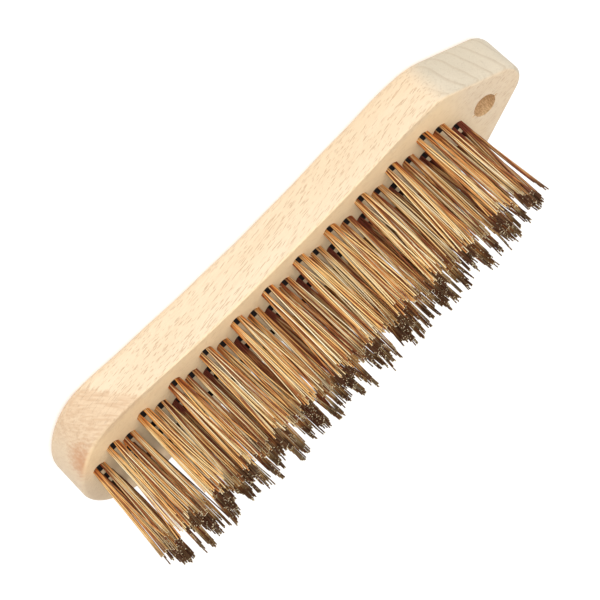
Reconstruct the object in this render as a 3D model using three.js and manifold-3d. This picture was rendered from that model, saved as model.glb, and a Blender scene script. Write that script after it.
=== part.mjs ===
// A wooden hand brush with straight brassed wire.
//
// It has two kinds of piece. handle_block is one piece of beech, shaped in plan like a violin body, with
// a hanging hole through its tapered end and six rows of blind holes in its upper face. Each blind hole
// holds one tuft: a bundle of wire folded in half and set fold first, so that it leaves the hole as two
// flat legs, one at each end of the hole along the brush. The rows are a mirror image about the middle.
// The tufts of the two middle rows stand side by side and their wires run together near the tips, so each
// such pair is one solid.
//
// Frame: millimetres, +Z up. The brush lies on its back with the wire standing up. X runs along the block,
// with the round end at +X and the tapered end at -X. The origin is the centre of the flat back face.

import * as THREE from "three";
import { mergeVertices } from "three/addons/utils/BufferGeometryUtils.js";
import Module from "manifold-3d";

// Block
const BLOCK_LENGTH = 176.2;
const BLOCK_THICKNESS = 17.5;
const HALF_WIDTH_ROUND_END = 19.6;
const HALF_WIDTH_WAIST = 16.2;
const HALF_WIDTH_SHOULDER = 19.3;
const ROUND_END_X = 67;
const WAIST_X = 14;
const SHOULDER_RADIUS = 14.5;
const TAPER_ANGLE = THREE.MathUtils.degToRad(33.5);
const NOSE_RADIUS = 7.6;
const END_SHIFT_Y = 1.5; // both ends of the block lie this far towards +Y
const TAPERED_END_BEND = [50, 72]; // the distances from the middle between which the shift builds up
const ROUND_END_BEND = [74, 88];
const BACK_EDGE_RADIUS = 4;
const FACE_EDGE_RADIUS = 0.6;

// Hanging hole, drilled right through and a little off the centre line
const HANG_HOLE_DIAMETER = 8;
const HANG_HOLE_X = -73.6;
const HANG_HOLE_Y = 1.6;

// Drilling pattern of the tufts
const PITCH = 12.5;
const STAGGER = 5.15;
const ROW_OFFSETS = [11.2, 7.6, 3]; // outer, middle and inner row, each side of the pattern's middle
const PATTERN_SHIFT_Y = 0.8;
const ROUND_END_TUFT_SHIFT_Y = 0.8; // the first tuft of each row, at the round end, is drilled further to +Y
const OUTER_FIRST_X = 71.8;
const OUTER_COUNT = 11;
const MIDDLE_COUNT = 12;
const INNER_EVEN_COUNT = 10;
const INNER_SPREAD_COUNT = 3;
const INNER_EVEN_FIRST_X = 49.4;
const INNER_END_SHIFT_Y = 1.2; // so are the tufts at both ends of the inner rows, by this much more
const TUFT_HOLE_DIAMETER = 3.5;
const TUFT_HOLE_MOUTH = 4.6; // along the brush, where the two legs of wire have spread the wood
const TUFT_HOLE_MOUTH_DEPTH = 4;
const TUFT_HOLE_DEPTH = 12;
const DRILL_POINT_ANGLE = THREE.MathUtils.degToRad(118);

// Tufts
const FREE_LENGTH_ROW_1 = 34.5;
const FREE_LENGTH_ROW_6 = 32.3; // the tips are trimmed to a plane that falls a little towards +Y
const FOLD_OUTER = 1.4; // the outer and inner radius of the fold
const FOLD_INNER = 0.5;
const LEG_OUTER = 1.95; // from the middle of the hole to the outside of a leg, at the block's face
const LEG_INNER = 0.65;
const TUFT_DEPTH = 1.7;
const TIP_OUTER = 2.55;
const TIP_INNER = 0.25;
const TIP_DEPTH = 3.6;
const FOLD_CLEARANCE = 0.2;
const PAIR_LEAN = 1.3; // how far the tips of the inner rows lean towards the middle

// Fineness of the facets
const OUTLINE_DIVISIONS = 8;
const BACK_EDGE_STEPS = 3;
const TUFT_HOLE_SIDES = 12;
const HANG_HOLE_SIDES = 32;
const FOLD_SEGMENTS = 3;

const CUT_OVERRUN = 5; // how far a cutting tool reaches past the block

const wasm = await Module();
wasm.setup();

function solidFrom(geometry) {
  const bare = geometry.clone();
  bare.deleteAttribute("normal");
  bare.deleteAttribute("uv");
  const merged = mergeVertices(bare, 1e-4);
  const vertProperties = new Float32Array(merged.attributes.position.array);
  const triVerts = new Uint32Array(merged.index.array);
  return new wasm.Manifold(new wasm.Mesh({ numProp: 3, vertProperties, triVerts }));
}

function geometryFrom(solid) {
  const { vertProperties, triVerts } = solid.getMesh();
  const geometry = new THREE.BufferGeometry();
  geometry.setAttribute("position", new THREE.BufferAttribute(vertProperties, 3));
  geometry.setIndex(new THREE.BufferAttribute(triVerts, 1));
  const flat = geometry.toNonIndexed();
  flat.computeVertexNormals();
  return flat;
}

// Half of the block's plan before its ends are shifted, from the nose at -X to the round end at +X.
function halfOutline() {
  const noseX = -BLOCK_LENGTH / 2;
  const endX = BLOCK_LENGTH / 2;
  const noseCentreX = noseX + NOSE_RADIUS;
  const tangentAngle = Math.PI / 2 + TAPER_ANGLE;
  // The straight taper touches the nose arc and the shoulder arc at the same angle.
  const shoulderCentreY = HALF_WIDTH_SHOULDER - SHOULDER_RADIUS;
  const lift = shoulderCentreY * Math.sin(tangentAngle) + SHOULDER_RADIUS - NOSE_RADIUS;
  const shoulderCentreX = noseCentreX - lift / Math.cos(tangentAngle);
  const toWaist = WAIST_X - shoulderCentreX;
  const fromWaist = ROUND_END_X - WAIST_X;
  const toEnd = endX - ROUND_END_X;

  const path = new THREE.Path();
  path.absarc(noseCentreX, 0, NOSE_RADIUS, Math.PI, tangentAngle, true);
  path.absarc(shoulderCentreX, shoulderCentreY, SHOULDER_RADIUS, tangentAngle, Math.PI / 2, true);
  path.bezierCurveTo(
    shoulderCentreX + 0.35 * toWaist, HALF_WIDTH_SHOULDER - 0.5,
    shoulderCentreX + 0.3 * toWaist, HALF_WIDTH_WAIST - 0.2,
    WAIST_X, HALF_WIDTH_WAIST,
  );
  path.bezierCurveTo(
    WAIST_X + 0.52 * fromWaist, HALF_WIDTH_WAIST + 0.1,
    WAIST_X + 0.74 * fromWaist, HALF_WIDTH_ROUND_END,
    ROUND_END_X, HALF_WIDTH_ROUND_END,
  );
  path.bezierCurveTo(
    ROUND_END_X + 0.52 * toEnd, HALF_WIDTH_ROUND_END,
    endX, 0.5 * HALF_WIDTH_ROUND_END,
    endX, 0,
  );
  return path.getPoints(OUTLINE_DIVISIONS);
}

function endShift(x) {
  const [start, end] = x < 0 ? TAPERED_END_BEND : ROUND_END_BEND;
  return END_SHIFT_Y * THREE.MathUtils.smoothstep(Math.abs(x), start, end);
}

// The whole plan, anticlockwise seen from above.
function blockOutline() {
  const upper = halfOutline();
  const lower = upper.slice(1, -1).map((p) => new THREE.Vector2(p.x, -p.y));
  return [...lower, ...upper.reverse()].map((p) => new THREE.Vector2(p.x, p.y + endShift(p.x)));
}

// The outline moved inwards by a distance, point by point.
function insetOutline(outline, distance) {
  return outline.map((point, i) => {
    const before = outline[(i + outline.length - 1) % outline.length];
    const after = outline[(i + 1) % outline.length];
    const along = after.clone().sub(before).normalize();
    return new THREE.Vector2(point.x - along.y * distance, point.y + along.x * distance);
  });
}

// A closed solid whose cross-sections are insets of one outline, listed from the lowest up.
function stackedOutline(outline, levels) {
  const count = outline.length;
  const positions = [];
  const index = [];
  for (const { inset, z } of levels) {
    for (const point of insetOutline(outline, inset)) {
      positions.push(point.x, point.y, z);
    }
  }
  for (let level = 0; level < levels.length - 1; level++) {
    for (let i = 0; i < count; i++) {
      const a = level * count + i;
      const b = level * count + ((i + 1) % count);
      index.push(a, b, b + count, a, b + count, a + count);
    }
  }
  const top = (levels.length - 1) * count;
  for (const [a, b, c] of THREE.ShapeUtils.triangulateShape(outline, [])) {
    index.push(a, c, b);
    index.push(top + a, top + b, top + c);
  }
  const geometry = new THREE.BufferGeometry();
  geometry.setAttribute("position", new THREE.Float32BufferAttribute(positions, 3));
  geometry.setIndex(index);
  return geometry;
}

function blankBlock() {
  const levels = [];
  for (let step = 0; step <= BACK_EDGE_STEPS; step++) {
    const angle = (step / BACK_EDGE_STEPS) * (Math.PI / 2);
    levels.push({
      inset: BACK_EDGE_RADIUS * (1 - Math.sin(angle)),
      z: BACK_EDGE_RADIUS * (1 - Math.cos(angle)),
    });
  }
  levels.push({ inset: 0, z: BLOCK_THICKNESS - FACE_EDGE_RADIUS });
  levels.push({ inset: FACE_EDGE_RADIUS, z: BLOCK_THICKNESS });
  return solidFrom(stackedOutline(blockOutline(), levels));
}

// A drilled hole with a pointed bottom, whose mouth widens along the brush.
function tuftHoleTool() {
  const radius = TUFT_HOLE_DIAMETER / 2;
  const shoulder = BLOCK_THICKNESS - TUFT_HOLE_DEPTH;
  const point = shoulder - radius / Math.tan(DRILL_POINT_ANGLE / 2);
  const mouthStart = BLOCK_THICKNESS - TUFT_HOLE_MOUTH_DEPTH;
  const top = BLOCK_THICKNESS + CUT_OVERRUN;
  const profile = [
    new THREE.Vector2(0, point),
    new THREE.Vector2(radius, shoulder),
    new THREE.Vector2(radius, mouthStart),
    new THREE.Vector2(radius, BLOCK_THICKNESS),
    new THREE.Vector2(radius, top),
    new THREE.Vector2(0, top),
  ];
  const tool = new THREE.LatheGeometry(profile, TUFT_HOLE_SIDES);
  tool.rotateX(Math.PI / 2);
  const position = tool.attributes.position;
  const widening = TUFT_HOLE_MOUTH / TUFT_HOLE_DIAMETER - 1;
  for (let i = 0; i < position.count; i++) {
    const rise = (position.getZ(i) - mouthStart) / TUFT_HOLE_MOUTH_DEPTH;
    position.setX(i, position.getX(i) * (1 + widening * THREE.MathUtils.clamp(rise, 0, 1)));
  }
  return solidFrom(tool);
}

function hangHoleTool() {
  const radius = HANG_HOLE_DIAMETER / 2;
  const length = BLOCK_THICKNESS + 2 * CUT_OVERRUN;
  const tool = new THREE.CylinderGeometry(radius, radius, length, HANG_HOLE_SIDES);
  tool.rotateX(Math.PI / 2);
  tool.translate(HANG_HOLE_X, HANG_HOLE_Y, BLOCK_THICKNESS / 2);
  return solidFrom(tool);
}

// The places of the tufts along each kind of row, from the round end.
function evenPlaces(first, count) {
  return Array.from({ length: count }, (_, i) => first - i * PITCH);
}

function rowPlaces() {
  const outer = evenPlaces(OUTER_FIRST_X, OUTER_COUNT);
  const middle = evenPlaces(OUTER_FIRST_X - STAGGER + PITCH, MIDDLE_COUNT);
  const innerEven = evenPlaces(INNER_EVEN_FIRST_X, INNER_EVEN_COUNT);
  // The inner row's last tufts are spread evenly up to the end of the middle row.
  const spread = (middle[0] - innerEven[0]) / INNER_SPREAD_COUNT;
  const innerEnd = Array.from({ length: INNER_SPREAD_COUNT }, (_, i) => middle[0] - i * spread);
  return { outer, middle, inner: [...innerEnd, ...innerEven] };
}

// Where the pattern's middle lies across the brush at one tuft of a row, counted from the round end.
function middleY(i) {
  return PATTERN_SHIFT_Y + (i === 0 ? ROUND_END_TUFT_SHIFT_Y : 0);
}

function innerMiddleY(i, count) {
  const atAnEnd = i === 0 || i === count - 1;
  return middleY(i) + (atAnEnd ? INNER_END_SHIFT_Y : 0);
}

function drilledBlock(places) {
  const tool = tuftHoleTool();
  let block = blankBlock().subtract(hangHoleTool());
  [places.outer, places.middle, places.inner].forEach((row, kind) => {
    row.forEach((x, i) => {
      const rowMiddleY = row === places.inner ? innerMiddleY(i, row.length) : middleY(i);
      for (const side of [-1, 1]) {
        block = block.subtract(tool.translate([x, rowMiddleY + side * ROW_OFFSETS[kind], 0]));
      }
    });
  });
  return geometryFrom(block);
}

// How far the wires of a row stand out of the block, from the row's distance from the pattern's middle.
function freeLength(rowOffset) {
  const fraction = (rowOffset / ROW_OFFSETS[0] + 1) / 2;
  return THREE.MathUtils.lerp(FREE_LENGTH_ROW_1, FREE_LENGTH_ROW_6, fraction);
}

// One tuft standing in a hole at the origin: the fold below and the two legs above, which spread
// along X and Y towards the tips. lean moves the tips along Y.
function tuftGeometry(length, lean) {
  const face = BLOCK_THICKNESS;
  const tip = face + length;
  const mouthStart = face - TUFT_HOLE_MOUTH_DEPTH;
  const foldCentre = face - TUFT_HOLE_DEPTH + FOLD_CLEARANCE + FOLD_OUTER;

  const legs = new THREE.Shape();
  legs.absarc(0, foldCentre, FOLD_OUTER, Math.PI, 2 * Math.PI, false);
  legs.lineTo(FOLD_OUTER, mouthStart);
  legs.lineTo(LEG_OUTER, face);
  legs.lineTo(TIP_OUTER, tip);
  legs.lineTo(TIP_INNER, tip);
  legs.lineTo(LEG_INNER, face);
  legs.absarc(0, foldCentre, FOLD_INNER, 0, -Math.PI, true);
  legs.lineTo(-LEG_INNER, face);
  legs.lineTo(-TIP_INNER, tip);
  legs.lineTo(-TIP_OUTER, tip);
  legs.lineTo(-LEG_OUTER, face);
  legs.lineTo(-FOLD_OUTER, mouthStart);

  const geometry = new THREE.ExtrudeGeometry(legs, {
    depth: TUFT_DEPTH,
    bevelEnabled: false,
    curveSegments: FOLD_SEGMENTS,
  });
  geometry.translate(0, 0, -TUFT_DEPTH / 2);
  geometry.rotateX(Math.PI / 2);

  const position = geometry.attributes.position;
  const spread = TIP_DEPTH / TUFT_DEPTH - 1;
  for (let i = 0; i < position.count; i++) {
    const rise = Math.max(0, (position.getZ(i) - face) / length);
    position.setY(i, position.getY(i) * (1 + spread * rise) + lean * rise);
  }
  geometry.computeVertexNormals();
  return geometry;
}

function pairGeometry() {
  const offset = ROW_OFFSETS[2];
  const near = tuftGeometry(freeLength(-offset), PAIR_LEAN).translate(0, -offset, 0);
  const far = tuftGeometry(freeLength(offset), -PAIR_LEAN).translate(0, offset, 0);
  return geometryFrom(solidFrom(near).add(solidFrom(far)));
}

const brush = new THREE.Group();

function addMesh(name, geometry, colour, roughness, metalness, x = 0, y = 0) {
  const material = new THREE.MeshStandardMaterial({ color: colour, roughness, metalness });
  const mesh = new THREE.Mesh(geometry, material);
  mesh.name = name;
  mesh.position.set(x, y, 0);
  brush.add(mesh);
}

function addTuft(name, geometry, x, y) {
  addMesh(name, geometry, 0xb98442, 0.4, 0.85, x, y);
}

function numbered(name, i) {
  return `${name}_${String(i + 1).padStart(2, "0")}`;
}

// Rows are numbered 1 to 6 from -Y to +Y, and tufts from the round end.
function addRow(row, places, offset) {
  const single = tuftGeometry(freeLength(offset), 0);
  places.forEach((x, i) => addTuft(numbered(`tuft_row${row}`, i), single, x, middleY(i) + offset));
}

const places = rowPlaces();
addMesh("handle_block", drilledBlock(places), 0xe9cfa6, 0.65, 0);
addRow(1, places.outer, -ROW_OFFSETS[0]);
addRow(2, places.middle, -ROW_OFFSETS[1]);
const pair = pairGeometry();
places.inner.forEach((x, i) => {
  addTuft(numbered("tuft_pair_row3_row4", i), pair, x, innerMiddleY(i, places.inner.length));
});
addRow(5, places.middle, ROW_OFFSETS[1]);
addRow(6, places.outer, ROW_OFFSETS[0]);

export default brush;
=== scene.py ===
"""The looks of a wooden hand brush with straight brassed wire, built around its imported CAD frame.

The block is one piece of beech with real holes. Every tuft is one piece that holds all of its folded
wires, and a last piece holds the flat clips that pin the folds. Lengths below are in millimetres and
turn into metres in mesh_object(). The brush lies on its back with the wire up: X runs along the block to
its round end, and the side seen by the camera faces -Y.
"""

import math

import bpy
import numpy as np
from mathutils import Matrix, Vector


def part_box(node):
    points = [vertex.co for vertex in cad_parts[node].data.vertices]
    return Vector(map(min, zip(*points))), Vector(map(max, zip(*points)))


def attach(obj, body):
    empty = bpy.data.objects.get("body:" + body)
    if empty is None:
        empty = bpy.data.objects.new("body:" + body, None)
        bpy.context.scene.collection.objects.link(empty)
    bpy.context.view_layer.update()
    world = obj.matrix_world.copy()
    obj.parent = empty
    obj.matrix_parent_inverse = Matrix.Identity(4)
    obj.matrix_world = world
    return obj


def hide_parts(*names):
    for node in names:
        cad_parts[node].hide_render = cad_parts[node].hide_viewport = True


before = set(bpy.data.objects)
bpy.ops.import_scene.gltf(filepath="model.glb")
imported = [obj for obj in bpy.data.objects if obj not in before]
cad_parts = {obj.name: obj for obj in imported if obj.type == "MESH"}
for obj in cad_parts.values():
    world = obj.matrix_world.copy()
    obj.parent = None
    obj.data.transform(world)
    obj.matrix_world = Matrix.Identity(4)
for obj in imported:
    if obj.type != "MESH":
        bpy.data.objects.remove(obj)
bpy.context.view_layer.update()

MM = 0.001

# Block
BLOCK_LOW, BLOCK_HIGH = (np.array(corner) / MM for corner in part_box("handle_block"))
FACE_Z = BLOCK_HIGH[2]
HALF_WIDTH_ROUND_END = -BLOCK_LOW[1]
HALF_WIDTH_WAIST = 16.2
HALF_WIDTH_SHOULDER = 19.3
ROUND_END_X = 67
WAIST_X = 14
SHOULDER_RADIUS = 14.5
TAPER_ANGLE = math.radians(33.5)
NOSE_RADIUS = 7.6
END_SHIFT_Y = 1.5  # both ends of the block lie this far towards +Y
TAPERED_END_BEND = (50, 72)  # the distances from the middle between which the shift builds up
ROUND_END_BEND = (74, 88)
BACK_EDGE_RADIUS = 4
FACE_EDGE_RADIUS_SIDES = 0.5
FACE_EDGE_RADIUS_ENDS = 1.3
FACE_EDGE_ENDS_X = (52, 80)  # the face edge softens between these distances from the middle
OUTLINE_STEPS = 20
EDGE_STEPS = 6

# Holes
HANG_HOLE_RADIUS = 4
HANG_HOLE_CENTRE = (-73.6, 1.6)
HANG_HOLE_SIDES = 64
SPLIT_REACH = 5.9  # how far the small splits at the hanging hole run from its centre
SPLIT_HALF_WIDTH = 0.75
SPLIT_DEPTH = 1.4
TUFT_HOLE_RADIUS = 1.75
TUFT_HOLE_MOUTH = 2.3  # half of the mouth, along the brush
TUFT_HOLE_MOUTH_DEPTH = 4
TUFT_HOLE_DEPTH = 12
TUFT_HOLE_POINT = 1.05
TUFT_HOLE_SIDES = 20

# Wire
WIRE_RADIUS = 0.2
WIRE_SIDES = 6
WIRES_PER_TUFT = 16
# Each column of wires in a leg: its distance from the middle of the gap, and half of its depth along Y
LEG_COLUMNS = ((0.86, 1.05), (1.28, 1.0), (1.7, 0.95), (2.1, 0.75))
LEG_LEVELS = 12
HOLE_LEVELS = 2
FOLD_LEVELS = 5
FOLD_SQUEEZE = 0.68  # how much closer the legs stand inside the hole
TIP_DEPTH_GAIN = 1.4
TIP_SCATTER = 0.8
CLUMPS_PER_LEG = 2
CLUMP_POINT = 1.4  # how much shorter a wire is for each millimetre between it and the leader of its clump
BOW = 0.3
STRAY_CHANCE = 0.08
STRAY_REACH = 2.4
LEAN = 0.5  # how far a whole tuft's tips lean
CLEARANCE = 2 * WIRE_RADIUS
RELAX_ROUNDS = 12

# How much shade is painted on the wires of each row, and how much darker and duller their tips are painted: the inner
# rows, shaded by the others, get the most painted shade
ROW_SHADE = {1: 0.0, 2: 0.14, 3: 0.62, 4: 0.6, 5: 0.25, 6: 0.05}
ROW_TIP_SHADE = {1: 0.1, 2: 0.55, 3: 0.95, 4: 1.0, 5: 1.0, 6: 0.9}
CORE_SHADE = 0.22  # how much more shade is painted on the wires in the heart of a bundle
# Where the tips of a leg's innermost and outermost wires stand, from the middle of the gap
ROW_TIP_SPREAD = {1: (0.1, 3.1), 2: (0.0, 3.1), 3: (-0.6, 3.3), 4: (-0.6, 3.3), 5: (-0.6, 3.4), 6: (-0.6, 3.4)}
# How strongly the wires of each row cling together near the tips, and how uneven their lengths are
ROW_CLING = {1: 0.15, 2: 0.3, 3: 0.5, 4: 0.55, 5: 0.6, 6: 0.6}
ROW_RAGGED = {1: 0.6, 2: 0.8, 3: 1.0, 4: 1.0, 5: 1.05, 6: 1.05}

# Anchors
ANCHOR_LENGTH = 3.8
ANCHOR_HEIGHT = 1.5
ANCHOR_THICKNESS = 0.4

# The two tufts of a pair node
PAIR_NODE = "tuft_pair_row3_row4"
INNER_ROW_OFFSET = 3
ROW_TIP_FALL = 0.6  # how much lower the tips of row 4 are than those of row 3

# One wire of this tuft has sprung out of its bundle
BOWED_WIRE_TUFT = "wires_row2_02"

# Wood fibres that the drill raised beside a few holes: where each one starts, and its heading in degrees
RAISED_FIBRES = ((6.6, -8.6, 150), (6.2, -7.8, 120), (-5.9, -9.0, 160), (-6.2, -8.3, 110), (-56.2, -7.3, 140))
FIBRE_LENGTH = 1.9
FIBRE_HALF_WIDTH = 0.16
FIBRE_LIFT = math.radians(38)

# Figure of the wood
GRAIN_CLIMB = math.radians(9)  # the grain climbs towards the round end
WAVY_CLIMB = math.radians(-50)
PINK_BORDER_X = 68.4  # where the figure changes at the back face; it lies nearer the middle higher up
PINK_BORDER_SLOPE = 0.71
BLUSH_PLACE = (81.9, -12.9, 16.2)  # a reddish patch by the edge of the round end
FACE_LIGHT_EDGE_Y = (14, 20)  # the distances from the middle between which the painted light round the tufts fades out
# where the painted light on the tuft face ends, at the tapered end and at the round end
FACE_LIGHT_ENDS_X = ((-74, -60), (80, 87))
RING_TILT = math.radians(15.6)
RING_PITCH = 3.0


# ---------------------------------------------------------------------------------------------------
# Mesh helpers
# ---------------------------------------------------------------------------------------------------


def mesh_object(name, points, faces, smooth_angle=math.radians(40)):
    """A new object from points in millimetres. Edges sharper than smooth_angle stay crisp."""
    mesh = bpy.data.meshes.new(name)
    mesh.from_pydata((np.asarray(points) * MM).tolist(), [], faces)
    mesh.polygons.foreach_set("use_smooth", [True] * len(mesh.polygons))
    mesh.set_sharp_from_angle(angle=smooth_angle)
    mesh.update()
    obj = bpy.data.objects.new(name, mesh)
    bpy.context.scene.collection.objects.link(obj)
    return obj


def ring_faces(rings, sides, start=0):
    """Quads between successive rings of points, and a face that closes each end."""
    faces = []
    for ring in range(rings - 1):
        base = start + ring * sides
        for side in range(sides):
            following = (side + 1) % sides
            faces.append((base + side, base + following, base + sides + following, base + sides + side))
    last = start + (rings - 1) * sides
    faces.append(tuple(range(start + sides - 1, start - 1, -1)))
    faces.append(tuple(range(last, last + sides)))
    return faces


def add_float_attribute(obj, name, values):
    attribute = obj.data.attributes.new(name, "FLOAT", "POINT")
    attribute.data.foreach_set("value", np.asarray(values, np.float32))


def smoothstep(low, high, value):
    t = np.clip((np.asarray(value, float) - low) / (high - low), 0, 1)
    return t * t * (3 - 2 * t)


# ---------------------------------------------------------------------------------------------------
# Block
# ---------------------------------------------------------------------------------------------------


def arc(centre, radius, start, end):
    angles = np.linspace(start, end, OUTLINE_STEPS)
    return np.stack([centre[0] + radius * np.cos(angles), centre[1] + radius * np.sin(angles)], 1)


def bezier(*controls):
    t = np.linspace(0, 1, OUTLINE_STEPS)[:, None]
    p0, p1, p2, p3 = (np.array(p, float) for p in controls)
    return (1 - t) ** 3 * p0 + 3 * (1 - t) ** 2 * t * p1 + 3 * (1 - t) * t**2 * p2 + t**3 * p3


def block_outline():
    """The block's plan, anticlockwise seen from above."""
    nose_centre = (BLOCK_LOW[0] + NOSE_RADIUS, 0)
    tangent = math.pi / 2 + TAPER_ANGLE
    shoulder_y = HALF_WIDTH_SHOULDER - SHOULDER_RADIUS
    lift = shoulder_y * math.sin(tangent) + SHOULDER_RADIUS - NOSE_RADIUS
    shoulder_x = nose_centre[0] - lift / math.cos(tangent)
    to_waist = WAIST_X - shoulder_x
    from_waist = ROUND_END_X - WAIST_X
    to_end = BLOCK_HIGH[0] - ROUND_END_X
    parts = [
        arc(nose_centre, NOSE_RADIUS, math.pi, tangent),
        arc((shoulder_x, shoulder_y), SHOULDER_RADIUS, tangent, math.pi / 2),
        bezier(
            (shoulder_x, HALF_WIDTH_SHOULDER),
            (shoulder_x + 0.35 * to_waist, HALF_WIDTH_SHOULDER - 0.5),
            (shoulder_x + 0.3 * to_waist, HALF_WIDTH_WAIST - 0.2),
            (WAIST_X, HALF_WIDTH_WAIST),
        ),
        bezier(
            (WAIST_X, HALF_WIDTH_WAIST),
            (WAIST_X + 0.52 * from_waist, HALF_WIDTH_WAIST + 0.1),
            (WAIST_X + 0.74 * from_waist, HALF_WIDTH_ROUND_END),
            (ROUND_END_X, HALF_WIDTH_ROUND_END),
        ),
        bezier(
            (ROUND_END_X, HALF_WIDTH_ROUND_END),
            (ROUND_END_X + 0.52 * to_end, HALF_WIDTH_ROUND_END),
            (BLOCK_HIGH[0], 0.5 * HALF_WIDTH_ROUND_END),
            (BLOCK_HIGH[0], 0),
        ),
    ]
    upper = np.concatenate([part[:-1] for part in parts] + [parts[-1][-1:]])
    lower = upper[1:-1] * (1, -1)
    outline = np.concatenate([lower, upper[::-1]])
    x = outline[:, 0]
    shift = np.where(x < 0, smoothstep(*TAPERED_END_BEND, -x), smoothstep(*ROUND_END_BEND, x))
    outline[:, 1] += END_SHIFT_Y * shift
    return outline


def blank_block():
    """The undrilled block: insets of the outline, stacked from the back face up to the tuft face."""
    outline = block_outline()
    along = np.roll(outline, -1, 0) - np.roll(outline, 1, 0)
    along /= np.linalg.norm(along, axis=1)[:, None]
    inward = np.stack([-along[:, 1], along[:, 0]], 1)
    ends = smoothstep(*FACE_EDGE_ENDS_X, np.abs(outline[:, 0]))
    face_radius = FACE_EDGE_RADIUS_SIDES + (FACE_EDGE_RADIUS_ENDS - FACE_EDGE_RADIUS_SIDES) * ends
    # Hand sanding leaves the roundings a little uneven along the block.
    uneven = 1 + 0.08 * np.sin(outline[:, 0] / 9 + 1.3) + 0.05 * np.sin(outline[:, 0] / 3.7)
    back_radius = BACK_EDGE_RADIUS * uneven
    levels = []
    for step in range(EDGE_STEPS + 1):
        angle = step / EDGE_STEPS * math.pi / 2
        levels.append((back_radius * (1 - math.sin(angle)), back_radius * (1 - math.cos(angle))))
    for step in range(EDGE_STEPS + 1):
        angle = step / EDGE_STEPS * math.pi / 2
        levels.append((face_radius * (1 - math.cos(angle)), FACE_Z - face_radius * (1 - math.sin(angle))))
    rings = [np.column_stack([outline + inward * inset[:, None], z]) for inset, z in levels]
    points = np.concatenate(rings)
    return mesh_object("blank_block", points, ring_faces(len(rings), len(outline)))


def turned(centre, profile, sides):
    """Points of a turned shape from (half length along X, half length along Y, z) for each ring."""
    angles = np.arange(sides) * 2 * math.pi / sides
    rings = [
        np.column_stack([centre[0] + a * np.cos(angles), centre[1] + b * np.sin(angles), np.full(sides, z)])
        for a, b, z in profile
    ]
    return np.concatenate(rings)


def hole_cutter(tuft_centres):
    """Every hole as one object to cut with: the hanging hole, and a pointed hole for each tuft."""
    above = FACE_Z + 2
    radius = TUFT_HOLE_RADIUS
    shoulder = FACE_Z - TUFT_HOLE_DEPTH
    pointed = (
        (0.05, 0.05, shoulder - TUFT_HOLE_POINT),
        (radius, radius, shoulder),
        (radius, radius, FACE_Z - TUFT_HOLE_MOUTH_DEPTH),
        (TUFT_HOLE_MOUTH, radius, FACE_Z),
        (TUFT_HOLE_MOUTH, radius, above),
    )
    straight = ((HANG_HOLE_RADIUS, HANG_HOLE_RADIUS, -2), (HANG_HOLE_RADIUS, HANG_HOLE_RADIUS, above))
    points = [turned(HANG_HOLE_CENTRE, straight, HANG_HOLE_SIDES)]
    faces = ring_faces(len(straight), HANG_HOLE_SIDES)
    count = len(points[0])
    for centre in tuft_centres:
        points.append(turned(centre, pointed, TUFT_HOLE_SIDES))
        faces += ring_faces(len(pointed), TUFT_HOLE_SIDES, count)
        count += len(points[-1])
    return mesh_object("hole_cutter", np.concatenate(points), faces)


def split_cutter():
    """The small splits that the hanging hole has opened along the grain, in the tuft face only."""
    z = FACE_Z - SPLIT_DEPTH
    profile = ((SPLIT_REACH - 1.5, 0.02, z), (SPLIT_REACH, SPLIT_HALF_WIDTH, FACE_Z + 1))
    points = turned(HANG_HOLE_CENTRE, profile, TUFT_HOLE_SIDES)
    return mesh_object("split_cutter", points, ring_faces(len(profile), TUFT_HOLE_SIDES))


def paint_holes(mesh, tuft_centres):
    """Gives the walls of the holes their own materials: slot 1, painted shade, in the tuft holes, 2 in the hanging
    hole.
    """
    centres = np.array([polygon.center for polygon in mesh.polygons]) / MM
    inside = (centres[:, 2] < FACE_Z - 0.01) & (centres[:, 2] > 0.01)
    to_tuft = (centres[:, None, :2] - np.array(tuft_centres)[None]) / (TUFT_HOLE_MOUTH + 0.1)
    in_tuft_hole = inside & (np.hypot(to_tuft[..., 0], to_tuft[..., 1]).min(1) < 1)
    to_hang = np.hypot(*(centres[:, :2] - HANG_HOLE_CENTRE).T)
    in_hang_hole = inside & (to_hang < SPLIT_REACH)
    slots = np.where(in_tuft_hole, 1, np.where(in_hang_hole, 2, 0))
    mesh.polygons.foreach_set("material_index", slots.astype(np.int32))


def build_block(tuft_centres):
    block = blank_block()
    cutters = [hole_cutter(tuft_centres), split_cutter()]
    for cutter in cutters:
        cut = block.modifiers.new(cutter.name, "BOOLEAN")
        cut.operation = "DIFFERENCE"
        cut.solver = "MANIFOLD"
        cut.object = cutter
    graph = bpy.context.evaluated_depsgraph_get()
    drilled = bpy.data.meshes.new_from_object(block.evaluated_get(graph))
    drilled.name = "beech_block"
    for unused in (block, *cutters):
        bpy.data.objects.remove(unused)
    drilled.set_sharp_from_angle(angle=math.radians(35))
    drilled.materials.clear()
    for material in (beech_material(), tuft_hole_shade_material(), hang_hole_material()):
        drilled.materials.append(material)
    paint_holes(drilled, tuft_centres)
    obj = bpy.data.objects.new("beech_block", drilled)
    bpy.context.scene.collection.objects.link(obj)
    weighted = obj.modifiers.new("flat_faces_stay_flat", "WEIGHTED_NORMAL")
    weighted.keep_sharp = True
    return obj


# ---------------------------------------------------------------------------------------------------
# Tufts
# ---------------------------------------------------------------------------------------------------


def leg_places(rng):
    """Where the wires of one leg stand in the mouth of the hole, on the +X side of the gap."""
    places = []
    for column, half_depth in LEG_COLUMNS:
        count = int(2 * half_depth / (2 * WIRE_RADIUS)) + 1
        for y in np.linspace(-half_depth, half_depth, count):
            places.append((column, y))
    places = np.array(places)
    keep = np.sort(rng.permutation(len(places))[:WIRES_PER_TUFT])
    return places[keep] + rng.normal(0, 0.03, (WIRES_PER_TUFT, 2))


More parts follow.
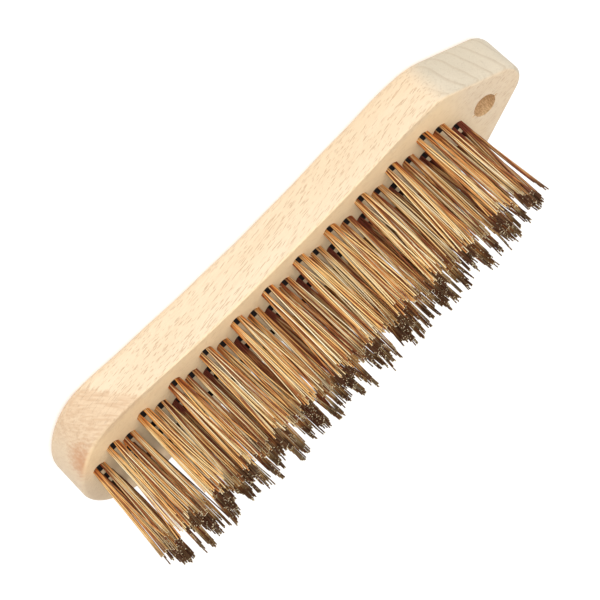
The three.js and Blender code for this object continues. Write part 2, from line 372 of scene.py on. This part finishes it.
def free_legs(rng, root, side, length, row):
    """Centre lines of one leg's wires from the block's face to the tips: (wire, level, xyz)."""
    count = len(root)
    rank = (root[:, 0] - root[:, 0].min()) / np.ptp(root[:, 0])
    tip_x = np.interp(rank, (0, 1), ROW_TIP_SPREAD[row]) + rng.normal(0, TIP_SCATTER, count)
    tip_y = root[:, 1] * TIP_DEPTH_GAIN + rng.normal(0, TIP_SCATTER, count)
    # Neighbouring wires cling together near the tips, which leaves gaps between the clumps.
    leaders = rng.permutation(count)[:CLUMPS_PER_LEG]
    apart = np.hypot(tip_x[:, None] - tip_x[leaders], tip_y[:, None] - tip_y[leaders])
    leader = leaders[apart.argmin(1)]
    from_leader = apart.min(1)
    tip_x += ROW_CLING[row] * (tip_x[leader] - tip_x)
    tip_y += ROW_CLING[row] * (tip_y[leader] - tip_y)
    stray = (rng.random(count) < STRAY_CHANCE) * rng.uniform(0.5, 1, count) * STRAY_REACH
    heading = rng.uniform(0, 2 * math.pi, count)
    tip_x += stray * np.cos(heading)
    tip_y += stray * np.sin(heading)
    t = np.linspace(0, 1, LEG_LEVELS)[None, :]
    spread = t**1.1
    bow = rng.normal(0, BOW, (2, count, 1)) * np.sin(math.pi * t**0.9)
    x = root[:, :1] + (tip_x[:, None] - root[:, :1]) * spread + bow[0]
    y = root[:, 1:] + (tip_y[:, None] - root[:, 1:]) * spread + bow[1]
    pointed = CLUMP_POINT * (from_leader.mean() - from_leader)
    wire_length = length + np.clip(rng.normal(0, ROW_RAGGED[row], count) + pointed, -3, 1.8)
    z = FACE_Z + wire_length[:, None] * t
    return np.stack([side * x, y, z], 2)


def relax(legs):
    """Pushes wires of one tuft apart where they run through each other, and keeps each one smooth."""
    plan = legs[..., :2]
    for _ in range(RELAX_ROUNDS):
        gap = plan[:, None] - plan[None, :]
        distance = np.linalg.norm(gap, axis=3) + 1e-6
        overlap = np.clip(CLEARANCE - distance, 0, None)
        push = (gap / distance[..., None] * overlap[..., None] * 0.5).sum(1)
        push[:, 0] = 0
        plan += push
        plan[:, 1:-1] += 0.15 * (plan[:, :-2] + plan[:, 2:] - 2 * plan[:, 1:-1])
    return legs


def fold_between(left, right):
    """The part of a wire inside the hole: down one side, round the fold and up the other side."""
    reach = FOLD_SQUEEZE * (right[0] - left[0]) / 2
    middle_x = (left[0] + right[0]) / 2 * FOLD_SQUEEZE
    depth = np.linspace(0, 1, HOLE_LEVELS + 1)[1:]
    fold_z = FACE_Z - TUFT_HOLE_DEPTH + 0.3 + TUFT_HOLE_RADIUS
    down = []
    for share in depth:
        squeeze = smoothstep(0, 0.6, share)
        x = left[0] + (middle_x - reach - left[0]) * squeeze
        down.append((x, left[1] * (1 - 0.1 * share), FACE_Z + (fold_z - FACE_Z) * share))
    up = []
    for share in depth[::-1]:
        squeeze = smoothstep(0, 0.6, share)
        x = right[0] + (middle_x + reach - right[0]) * squeeze
        up.append((x, right[1] * (1 - 0.1 * share), FACE_Z + (fold_z - FACE_Z) * share))
    bend = []
    for angle in np.linspace(math.pi, 2 * math.pi, FOLD_LEVELS + 2)[1:-1]:
        share = (1 + math.cos(angle)) / 2
        y = 0.9 * (left[1] + (right[1] - left[1]) * share)
        bend.append((middle_x + reach * math.cos(angle), y, fold_z + reach * math.sin(angle)))
    return np.array(down + bend + up)


def tube(path, radius):
    """Rings of points round a centre line."""
    tangent = np.gradient(path, axis=0)
    tangent /= np.linalg.norm(tangent, axis=1)[:, None]
    # The wires bend mostly in the XZ plane, so Y is a steady direction to measure from.
    across = np.cross(tangent, (0.0, 1.0, 0.0))
    across /= np.linalg.norm(across, axis=1)[:, None]
    other = np.cross(tangent, across)
    angles = np.arange(WIRE_SIDES) * 2 * math.pi / WIRE_SIDES
    ring = across[:, None] * np.cos(angles)[None, :, None] + other[:, None] * np.sin(angles)[None, :, None]
    return (path[:, None] + radius * ring).reshape(-1, 3)


def bowed_wire(length):
    """A wire that has sprung sideways out of its bundle and leans back on it higher up."""
    stations = ((1.4, -5), (1.75, 0), (2.9, 2), (3.4, 4), (3.1, 6.5), (2.3, 10), (1.8, 16), (1.9, 25), (2.1, length))
    x, rise = np.array(stations).T
    fine = np.linspace(rise[0], rise[-1], 3 * len(rise))
    smooth_x = np.interp(fine, rise, x)
    smooth_x[1:-1] = (smooth_x[:-2] + 2 * smooth_x[1:-1] + smooth_x[2:]) / 4
    y = -0.9 - 0.012 * fine
    return np.column_stack([smooth_x, y, FACE_Z + fine])


def build_tuft(name, centre, tip_z, row, seed):
    rng = np.random.default_rng(seed)
    length = tip_z - FACE_Z
    left = free_legs(rng, leg_places(rng), -1, length, row)
    right = free_legs(rng, leg_places(rng), 1, length, row)
    legs = relax(np.concatenate([left, right]))
    rise = np.clip((legs[..., 2] - FACE_Z) / length, 0, None)
    lean = rng.normal(0, LEAN, 2)
    legs[..., :2] += rise[..., None] ** 1.2 * lean
    left, right = legs[:WIRES_PER_TUFT], legs[WIRES_PER_TUFT:]
    # A wire joins a place in the left leg to the place as far from the gap in the right leg.
    left = left[np.argsort(np.abs(left[:, 0, 0]))]
    right = right[np.argsort(np.abs(right[:, 0, 0]))]

    paths = [
        np.concatenate([going[::-1], fold_between(going[0], coming[0]), coming])
        for going, coming in zip(left, right)
    ]
    if name == BOWED_WIRE_TUFT:
        paths.append(bowed_wire(length))

    points, faces, tones, shades, caps = [], [], [], [], []
    even_tones = rng.permutation(np.linspace(0, 1, len(paths)))
    for path, tone in zip(paths, even_tones):
        # Painted shade: wires in the heart of the bundle are painted darker than those outside it.
        core = 1 - min(1, np.abs(path[[0, -1], 1]).mean() / 1.6)
        path[:, :2] += centre
        start = sum(len(p) for p in points)
        points.append(tube(path, WIRE_RADIUS * rng.uniform(0.94, 1.03)))
        faces += ring_faces(len(path), WIRE_SIDES, start)
        caps += [len(faces) - 2, len(faces) - 1]
        tones.append(np.full(len(points[-1]), tone))
        shades.append(np.full(len(points[-1]), ROW_SHADE[row] + CORE_SHADE * core))
    points = np.concatenate(points)
    obj = mesh_object(name, points, faces, math.radians(75))
    add_float_attribute(obj, "tone", np.concatenate(tones))
    add_float_attribute(obj, "shade", np.concatenate(shades))
    add_float_attribute(obj, "rise", (points[:, 2] - FACE_Z) / length)
    add_float_attribute(obj, "tip_shade", np.full(len(points), ROW_TIP_SHADE[row]))
    obj.data.materials.append(wire_material())
    obj.data.materials.append(cut_end_material())
    for cap in caps:
        obj.data.polygons[cap].material_index = 1
    return obj


# ---------------------------------------------------------------------------------------------------
# Anchors
# ---------------------------------------------------------------------------------------------------


def build_anchors(tuft_centres):
    """A short flat clip inside each fold. Its ends bite into the wall of the hole."""
    half = np.array([ANCHOR_THICKNESS, ANCHOR_LENGTH, ANCHOR_HEIGHT]) / 2
    chamfer = 0.08
    z = FACE_Z - TUFT_HOLE_DEPTH + TUFT_HOLE_RADIUS + half[2]
    section = [
        (-half[0] + chamfer, -half[2]), (half[0] - chamfer, -half[2]),
        (half[0], -half[2] + chamfer), (half[0], half[2] - chamfer),
        (half[0] - chamfer, half[2]), (-half[0] + chamfer, half[2]),
        (-half[0], half[2] - chamfer), (-half[0], -half[2] + chamfer),
    ]
    points, faces = [], []
    for x, y in tuft_centres:
        faces += ring_faces(2, len(section), len(points))
        for end in (half[1], -half[1]):
            points += [(x + a, y + end, z + b) for a, b in section]
    obj = mesh_object("wire_anchors", points, faces)
    # The clips take the wire's material, with some painted shade.
    for name, value in (("tone", 0.4), ("shade", 0.3), ("rise", 0.0), ("tip_shade", 0.0)):
        add_float_attribute(obj, name, np.full(len(points), value))
    obj.data.materials.append(wire_material())
    return obj


# ---------------------------------------------------------------------------------------------------
# Raised fibres
# ---------------------------------------------------------------------------------------------------


def build_raised_fibres():
    """Thin slivers of wood that still hold at one end, which is sunk a little into the block."""
    points, faces = [], []
    for x, y, heading in RAISED_FIBRES:
        along = np.array([math.cos(math.radians(heading)), math.sin(math.radians(heading)), 0])
        across = np.array([-along[1], along[0], 0])
        faces += ring_faces(4, 4, len(points))
        for share in (0, 0.35, 0.7, 1):
            half = FIBRE_HALF_WIDTH * (1 - 0.85 * share)
            height = FACE_Z - 0.1 + FIBRE_LENGTH * share**1.4 * math.sin(FIBRE_LIFT)
            middle = np.array([x, y, height]) + along * FIBRE_LENGTH * share * math.cos(FIBRE_LIFT)
            thickness = np.array([0, 0, 0.35 * half])
            points += [middle - across * half, middle - thickness, middle + across * half, middle + thickness]
    obj = mesh_object("raised_fibres", points, faces)
    obj.data.materials.append(beech_material())
    return obj


# ---------------------------------------------------------------------------------------------------
# Materials
# ---------------------------------------------------------------------------------------------------


class Nodes:
    """Short calls for building one material's node tree."""

    def __init__(self, name):
        self.material = bpy.data.materials.new(name)
        self.material.use_nodes = True
        self.tree = self.material.node_tree
        self.tree.nodes.clear()
        self.output = self.tree.nodes.new("ShaderNodeOutputMaterial")

    def feed(self, socket, value):
        if isinstance(value, bpy.types.NodeSocket):
            self.tree.links.new(value, socket)
        else:
            socket.default_value = value

    def add(self, kind, inputs=None, **settings):
        node = self.tree.nodes.new(kind)
        for key, value in settings.items():
            setattr(node, key, value)
        for key, value in (inputs or {}).items():
            self.feed(node.inputs[key], value)
        return node

    def math(self, operation, a, b=0.0, clamp=False):
        return self.add("ShaderNodeMath", {0: a, 1: b}, operation=operation, use_clamp=clamp).outputs[0]

    def mix(self, factor, a, b, blend="MIX"):
        node = self.add("ShaderNodeMix", data_type="RGBA", blend_type=blend)
        self.feed(node.inputs[0], factor)
        self.feed(node.inputs[6], a)
        self.feed(node.inputs[7], b)
        return node.outputs[2]

    def ramp(self, factor, low, high):
        """0 below low, 1 above high, smooth between."""
        node = self.add(
            "ShaderNodeMapRange",
            {"Value": factor, "From Min": low, "From Max": high},
            interpolation_type="SMOOTHSTEP",
        )
        return node.outputs["Result"]

    def gradient(self, factor, *stops):
        """A colour ramp through (position, colour) stops."""
        node = self.add("ShaderNodeValToRGB", {"Fac": factor})
        elements = node.color_ramp.elements
        while len(elements) < len(stops):
            elements.new(0.5)
        for element, (position, colour) in zip(elements, stops):
            element.position = position
            element.color = colour
        return node.outputs["Color"]

    def attribute(self, name):
        return self.add("ShaderNodeAttribute", attribute_name=name).outputs["Fac"]

    def place(self, scale=(1, 1, 1), offset=(0, 0, 0), climb=0.0):
        """Object coordinates in millimetres, with X turned to climb by an angle, then scaled per axis."""
        vector = self.add("ShaderNodeTexCoord").outputs["Object"]
        if climb:
            turned = self.add("ShaderNodeMapping", {"Vector": vector, "Rotation": (0, climb, 0)})
            vector = turned.outputs["Vector"]
        scale = tuple(s / MM for s in scale)
        mapping = self.add("ShaderNodeMapping", {"Vector": vector, "Scale": scale, "Location": offset})
        return mapping.outputs["Vector"]

    def noise(self, vector, scale=1.0, detail=2.0, roughness=0.5):
        node = self.add(
            "ShaderNodeTexNoise",
            {"Vector": vector, "Scale": scale, "Detail": detail, "Roughness": roughness},
        )
        return node.outputs["Fac"]

    def finish(self, colour, roughness, metallic=0.0, height=None, bump_distance=0.0001, **more):
        inputs = {"Base Color": colour, "Roughness": roughness, "Metallic": metallic}
        inputs.update(more)
        if height is not None:
            bump = self.add(
                "ShaderNodeBump", {"Height": height, "Strength": 1.0, "Distance": bump_distance}
            )
            inputs["Normal"] = bump.outputs["Normal"]
        shader = self.add("ShaderNodeBsdfPrincipled", inputs)
        self.tree.links.new(shader.outputs[0], self.output.inputs["Surface"])
        return self.material


def rgb(red, green, blue):
    return (red, green, blue, 1.0)


def once(make):
    """Makes a material on first use and hands out the same one afterwards."""
    made = []

    def get():
        if not made:
            made.append(make())
        return made[0]

    return get


@once
def wire_material():
    """Drawn wire with a brass finish: orange at the roots, golden along the legs, duller at the tips, with painted
    shade on the inner rows, the hearts of the bundles, the tips and the edges that turn away.
    """
    n = Nodes("brass_wire")
    rise = n.attribute("rise")
    streaks = n.noise(n.place((2.2, 2.2, 0.09)), detail=3)
    patches = n.noise(n.place((0.35, 0.35, 0.25)), detail=2)

    shade = n.attribute("shade")
    # Each wire has its own tone, spread at random, with streaks along it; the cream and dark brown ends of the ramp
    # also stand in for highlights and for shade between the wires.
    tone = n.math("ADD", n.attribute("tone"), n.math("MULTIPLY", n.math("SUBTRACT", streaks, 0.5), 0.9))
    # Painted shade also moves the shaded wires towards the dark end of the ramp.
    tone = n.math("SUBTRACT", tone, n.math("MULTIPLY", shade, 0.4))
    golden = n.gradient(
        tone,
        (0.0, rgb(0.27, 0.078, 0.028)),
        (0.16, rgb(0.70, 0.30, 0.09)),
        (0.36, rgb(1.0, 0.60, 0.21)),
        (0.68, rgb(1.0, 0.77, 0.39)),
        (1.0, rgb(1.0, 0.91, 0.64)),
    )
    root_edge = n.math("ADD", rise, n.math("MULTIPLY", n.math("SUBTRACT", patches, 0.5), 0.15))
    root = n.math("SUBTRACT", 1.0, n.ramp(root_edge, 0.04, 0.22))
    colour = n.mix(n.math("MULTIPLY", root, 0.85), golden, rgb(0.88, 0.58, 0.36), "MULTIPLY")
    # Painted shade: the shade of each row and bundle is painted deeper towards the roots.
    deeper = n.math("ADD", 0.65, n.math("MULTIPLY", root, 0.95))
    colour = n.mix(n.math("MULTIPLY", shade, deeper), colour, rgb(0.18, 0.04, 0.026))
    # Painted shade: the tips are painted dark brown, most on the inner rows, and made rougher.
    tip_edge = n.math("ADD", rise, n.math("MULTIPLY", n.math("SUBTRACT", patches, 0.5), 0.2))
    tip = n.math("MULTIPLY", n.ramp(tip_edge, 0.82, 0.97), n.attribute("tip_shade"))
    colour = n.mix(n.math("MULTIPLY", tip, 0.9), colour, rgb(0.05, 0.028, 0.017))
    # Painted shade: each wire is painted darker where its surface turns away from the view, which draws dark lines
    # between the wires.
    facing = n.add("ShaderNodeLayerWeight", {"Blend": 0.5}).outputs["Facing"]
    turned_away = n.math("MULTIPLY", n.ramp(facing, 0.22, 0.65), 0.8)
    colour = n.mix(turned_away, colour, rgb(0.15, 0.04, 0.018))

    roughness = n.math("ADD", 0.36, n.math("MULTIPLY", streaks, 0.16))
    roughness = n.math("ADD", roughness, n.math("MULTIPLY", tip, 0.25))
    # The wires lose their metal where shade is painted on them.
    bright = n.math("MULTIPLY", n.math("SUBTRACT", 1.0, shade), n.math("SUBTRACT", 1.0, tip))
    metallic = n.math("MULTIPLY", bright, 0.2)
    scratches = n.noise(n.place((14, 14, 0.5)), detail=4, roughness=0.7)
    warm_edges = {"Specular Tint": rgb(1.0, 0.72, 0.42), "Specular IOR Level": 0.4}
    return n.finish(colour, roughness, metallic, height=scratches, bump_distance=0.00001, **warm_edges)


@once
def cut_end_material():
    """The sheared end of a wire."""
    n = Nodes("cut_wire_end")
    grain = n.noise(n.place((3, 3, 3)), detail=3)
    colour = n.mix(n.ramp(grain, 0.35, 0.65), rgb(0.45, 0.31, 0.15), rgb(1.0, 0.90, 0.62))
    roughness = n.math("ADD", 0.35, n.math("MULTIPLY", grain, 0.2))
    return n.finish(colour, roughness, metallic=0.3, height=grain, bump_distance=0.00002)


@once
def beech_material():
    """Bare sanded beech: short dark flecks along the grain, a wavy pinkish end, ring lines on the taper."""
    n = Nodes("beech")
    place = n.add("ShaderNodeSeparateXYZ", {0: n.place()})
    x, y, z = (place.outputs[axis] for axis in "XYZ")
    figure = n.noise(n.place((0.012, 0.10, 0.10)), detail=3)
    fine = n.noise(n.place((0.09, 1.8, 1.8), climb=GRAIN_CLIMB), detail=3, roughness=0.6)
    flecks = n.ramp(n.noise(n.place((0.3, 3.1, 3.1), climb=GRAIN_CLIMB), detail=1), 0.585, 0.69)
    long_flecks = n.noise(n.place((0.16, 1.5, 1.5), offset=(7, 3, 1), climb=GRAIN_CLIMB), detail=1)

    colour = n.mix(n.ramp(figure, 0.3, 0.7), rgb(0.74, 0.58, 0.395), rgb(0.78, 0.635, 0.455))
    colour = n.mix(n.math("MULTIPLY", n.ramp(fine, 0.35, 0.75), 0.3), colour, rgb(0.68, 0.50, 0.33))
    colour = n.mix(n.math("MULTIPLY", flecks, 0.55), colour, rgb(0.52, 0.33, 0.19))
    colour = n.mix(n.math("MULTIPLY", n.ramp(long_flecks, 0.64, 0.76), 0.35), colour, rgb(0.54, 0.36, 0.22))

    # At the round end the cut leaves the straight grain: a jagged border, then a pinkish and wavy figure.
    jags = n.math("MULTIPLY", n.noise(n.place((0.12, 1.4, 1.4), climb=GRAIN_CLIMB), detail=2), 5)
    border = n.math("ADD", n.math("ADD", x, n.math("MULTIPLY", z, PINK_BORDER_SLOPE)), jags)
    pink = n.ramp(border, PINK_BORDER_X + 2, PINK_BORDER_X + 3.5)
    pale = n.ramp(n.math("ADD", x, jags), 80, 87)
    wavy = n.noise(n.place((0.2, 1.3, 1.3), offset=(0, 4, 2), climb=WAVY_CLIMB), detail=3)
    pink_colour = n.mix(n.ramp(wavy, 0.35, 0.65), rgb(0.60, 0.41, 0.255), rgb(0.70, 0.525, 0.35))
    pink_colour = n.mix(n.math("MULTIPLY", pale, 0.7), pink_colour, rgb(0.68, 0.54, 0.375))
    colour = n.mix(n.math("MULTIPLY", pink, 0.85), colour, pink_colour)
    from_blush = n.add("ShaderNodeVectorMath", {0: n.place(), 1: BLUSH_PLACE}, operation="DISTANCE")
    wander = n.math("MULTIPLY", wavy, 8)
    blush = n.math("SUBTRACT", 1.0, n.ramp(n.math("ADD", from_blush.outputs["Value"], wander), 4, 12.5))
    colour = n.mix(n.math("MULTIPLY", blush, 0.9), colour, rgb(0.55, 0.28, 0.14))

    # Painted light: the tuft face between the wires is painted lighter and warmer, against the shade that the tufts
    # throw on it.
    to_axis = n.math("ABSOLUTE", n.math("ADD", y, n.math("MULTIPLY", jags, 0.4)))
    face_light = n.math("MULTIPLY", n.math("SUBTRACT", 1.0, n.ramp(to_axis, *FACE_LIGHT_EDGE_Y)), n.ramp(z, FACE_Z - 1, FACE_Z))
    starts, ends = (n.ramp(x, *edge) for edge in FACE_LIGHT_ENDS_X)
    face_light = n.math("MULTIPLY", face_light, n.math("SUBTRACT", starts, ends))
    colour = n.mix(n.math("MULTIPLY", face_light, 0.75), colour, rgb(0.92, 0.70, 0.42))

    # The growth rings stand almost upright along the block, so the taper and the nose cut across them.
    drift = n.math("MULTIPLY", n.noise(n.place((0.02, 0.07, 0.05)), detail=2), 4)
    across = n.math("SUBTRACT", n.math("MULTIPLY", y, math.cos(RING_TILT)), n.math("MULTIPLY", z, math.sin(RING_TILT)))
    phase = n.math("FRACT", n.math("MULTIPLY", n.math("ADD", across, drift), 1 / RING_PITCH))
    late_wood = n.math("MULTIPLY", n.ramp(phase, 0.7, 0.93), n.math("SUBTRACT", 1.0, n.ramp(phase, 0.95, 1.0)))
    normal = n.add("ShaderNodeNewGeometry").outputs["Normal"]
    normal_x = n.add("ShaderNodeSeparateXYZ", {0: normal}).outputs["X"]
    end_grain = n.ramp(n.math("MULTIPLY", normal_x, -1), 0.15, 0.55)
    pores = n.ramp(n.noise(n.place((3, 3, 3)), detail=2), 0.45, 0.75)
    end_colour = n.mix(n.ramp(drift, 1.4, 2.6), rgb(0.56, 0.50, 0.39), rgb(0.62, 0.55, 0.43))
    end_colour = n.mix(n.math("MULTIPLY", late_wood, 0.55), end_colour, rgb(0.44, 0.36, 0.26))
    end_colour = n.mix(n.math("MULTIPLY", pores, 0.2), end_colour, rgb(0.50, 0.40, 0.28))
    colour = n.mix(n.math("MULTIPLY", end_grain, 0.85), colour, end_colour)

    height = n.math("ADD", n.math("MULTIPLY", fine, 0.6), n.math("MULTIPLY", flecks, -0.8))
    roughness = n.math("ADD", 0.52, n.math("MULTIPLY", fine, 0.2))
    return n.finish(colour, roughness, height=height, bump_distance=0.00008)


def bored_wood(name, dark, light):
    """Wood that a drill has torn: speckled between a dark and a light colour, which for the tuft holes is painted
    shade.
    """
    n = Nodes(name)
    speckle = n.noise(n.place((2.4, 2.4, 1.4)), detail=4, roughness=0.65)
    colour = n.mix(n.ramp(speckle, 0.3, 0.7), dark, light)
    roughness = n.math("ADD", 0.65, n.math("MULTIPLY", speckle, 0.2))
    return n.finish(colour, roughness, height=speckle, bump_distance=0.0002)


@once
def tuft_hole_shade_material():
    # Painted shade: the walls of the tuft holes are painted almost black, for the deep shade inside them.
    return bored_wood("tuft_hole_painted_shade", rgb(0.008, 0.006, 0.007), rgb(0.03, 0.02, 0.018))


@once
def hang_hole_material():
    return bored_wood("hanging_hole_wall", rgb(0.52, 0.32, 0.15), rgb(0.88, 0.62, 0.35))


@once
def floor_material():
    """White paper, lit a little from below so that it stays white round the brush."""
    n = Nodes("pale_floor")
    mottle = n.noise(n.place((0.01, 0.01, 0.01)), detail=2)
    colour = n.mix(mottle, rgb(0.74, 0.74, 0.74), rgb(0.76, 0.76, 0.76))
    glow = {"Emission Color": rgb(1.0, 1.0, 1.0), "Emission Strength": FLOOR_GLOW}
    return n.finish(colour, 0.8, **glow)


# ---------------------------------------------------------------------------------------------------
# Stage
# ---------------------------------------------------------------------------------------------------

CAMERA_PLACE = (37.8, -807.9, 485.9)
CAMERA_RIGHT = (-0.710, 0.329, 0.623)
CAMERA_UP = (-0.704, -0.376, -0.603)
CAMERA_LENS = 194.1

WORLD_STRENGTH = 0.82
FLOOR_GLOW = 0.4
KEY_PLACE = (-60, -830, 900)
KEY_SIZE = 700
KEY_POWER = 3.8
FILL_DISTANCE = 1.2  # the small light by the camera, as a multiple of the camera's distance
FILL_SIZE = 120
FILL_POWER = 2.7


def add_camera():
    right = Vector(CAMERA_RIGHT).normalized()
    back = right.cross(Vector(CAMERA_UP)).normalized()
    up = back.cross(right)
    data = bpy.data.cameras.new("camera")
    data.lens = CAMERA_LENS
    camera = bpy.data.objects.new("camera", data)
    turn = Matrix((right, up, back)).transposed().to_4x4()
    camera.matrix_world = Matrix.Translation(Vector(CAMERA_PLACE) * MM) @ turn
    bpy.context.scene.collection.objects.link(camera)
    bpy.context.scene.camera = camera


def add_area_light(name, place, target, size, power, colour):
    data = bpy.data.lights.new(name, "AREA")
    data.shape = "DISK"
    data.size = size * MM
    data.energy = power
    data.color = colour
    light = bpy.data.objects.new(name, data)
    light.location = Vector(place) * MM
    aim = Vector(target) - Vector(place)
    light.rotation_euler = aim.to_track_quat("-Z", "Y").to_euler()
    bpy.context.scene.collection.objects.link(light)


def add_stage():
    reach = 4000
    corners = [(-reach, -reach, 0), (reach, -reach, 0), (reach, reach, 0), (-reach, reach, 0)]
    floor = mesh_object("floor", corners, [(0, 1, 2, 3)])
    floor.data.materials.append(floor_material())
    world = bpy.data.worlds.new("studio")
    world.use_nodes = True
    world.node_tree.nodes["Background"].inputs["Color"].default_value = rgb(1.0, 1.0, 1.0)
    world.node_tree.nodes["Background"].inputs["Strength"].default_value = WORLD_STRENGTH
    bpy.context.scene.world = world
    add_area_light("key", KEY_PLACE, (0, 0, 25), KEY_SIZE, KEY_POWER, (1.0, 0.98, 0.95))
    fill_place = Vector(CAMERA_PLACE) * FILL_DISTANCE
    add_area_light("fill", fill_place, (0, 0, 25), FILL_SIZE, FILL_POWER, (1.0, 0.98, 0.95))
    bpy.context.scene.view_settings.view_transform = "Standard"


# ---------------------------------------------------------------------------------------------------
# The brush
# ---------------------------------------------------------------------------------------------------


def tuft_plan():
    """(piece name, CAD node, centre, tip height, row) of each of the 72 tufts."""
    plan = []
    for node in sorted(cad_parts):
        if not node.startswith("tuft"):
            continue
        low, high = (np.array(corner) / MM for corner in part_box(node))
        x, y = (low[:2] + high[:2]) / 2
        number = node.rsplit("_", 1)[1]
        if node.startswith(PAIR_NODE):
            plan.append((f"wires_row3_{number}", node, (x, y - INNER_ROW_OFFSET), high[2], 3))
            plan.append((f"wires_row4_{number}", node, (x, y + INNER_ROW_OFFSET), high[2] - ROW_TIP_FALL, 4))
        else:
            row = int(node[len("tuft_row")])
            plan.append((f"wires_row{row}_{number}", node, (x, y), high[2], row))
    return plan


def build_brush():
    plan = tuft_plan()
    centres = [centre for _, _, centre, _, _ in plan]
    block = build_block(centres)
    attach(block, "root")
    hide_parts("handle_block")
    for seed, (name, node, centre, tip_z, row) in enumerate(plan):
        tuft = build_tuft(name, centre, tip_z, row, seed)
        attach(tuft, "root")
        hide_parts(node)
    anchors = build_anchors(centres)
    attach(anchors, "root")
    fibres = build_raised_fibres()
    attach(fibres, "root")


build_brush()
add_stage()
add_camera()
